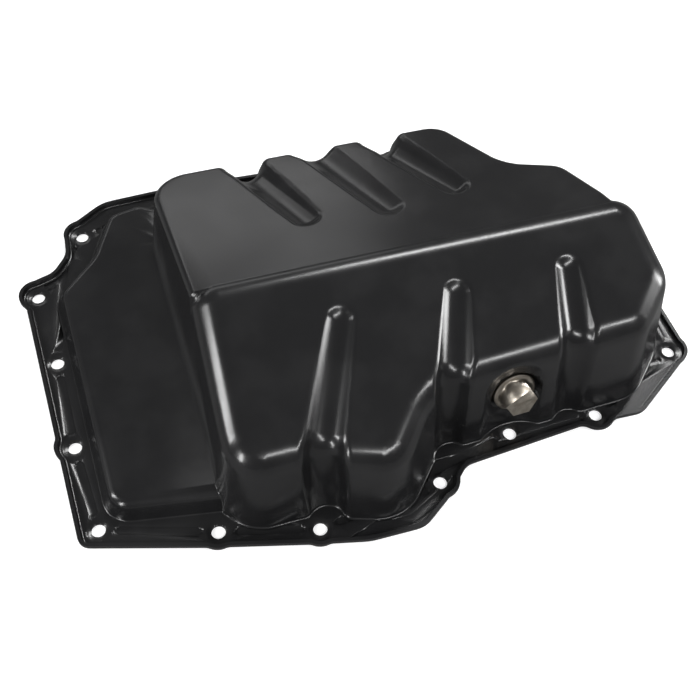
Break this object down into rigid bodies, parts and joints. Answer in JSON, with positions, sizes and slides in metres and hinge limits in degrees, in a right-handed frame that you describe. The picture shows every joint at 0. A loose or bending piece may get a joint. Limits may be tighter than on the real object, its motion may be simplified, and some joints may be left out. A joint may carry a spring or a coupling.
{
  "type": "engine oil pan",
  "caption": "Pressed sheet-steel engine oil pan with a deep sloping sump, ribbed walls, a shallow tray, a lipped bolting flange and a hexagonal drain plug.",
  "frame": {"origin": "axis of the front left bolt hole, in the plane of the flange's mating face", "axes": "+X along the pan, +Y towards its back, +Z away from the engine, so the sump rises from the flange"},
  "size_m": [0.3426, 0.2526, 0.0743],
  "materials": {
    "black_coating": "satin black dip coating on sheet steel",
    "nut_steel": "the same black coating, over a welded steel nut",
    "washer_brass": "dull rolled",
    "plug_steel": "plain warm-grey steel, lightly worn"
  },
  "bodies": {
    "pan": {"oil_pan": "black_coating", "drain_nut": "nut_steel"},
    "washer": {"drain_plug_gasket": "washer_brass"},
    "plug": {"drain_plug": "plug_steel"}
  },
  "joints": [
    {"name": "plug_advance", "type": "slide", "parent": "pan", "child": "washer", "axis": [0, -0.9659, 0.2588], "range_m": [0, 0.0135]},
    {"name": "plug_turn", "type": "hinge", "parent": "washer", "child": "plug", "pos_m": [0.213, -0.0015, 0.027], "axis": [0, -0.9659, 0.2588], "range_deg": [0, 3241]}
  ],
  "couplings": [
    {"joint": "plug_turn", "follows": "plug_advance", "rad_per_m": 4188.8}
  ]
}
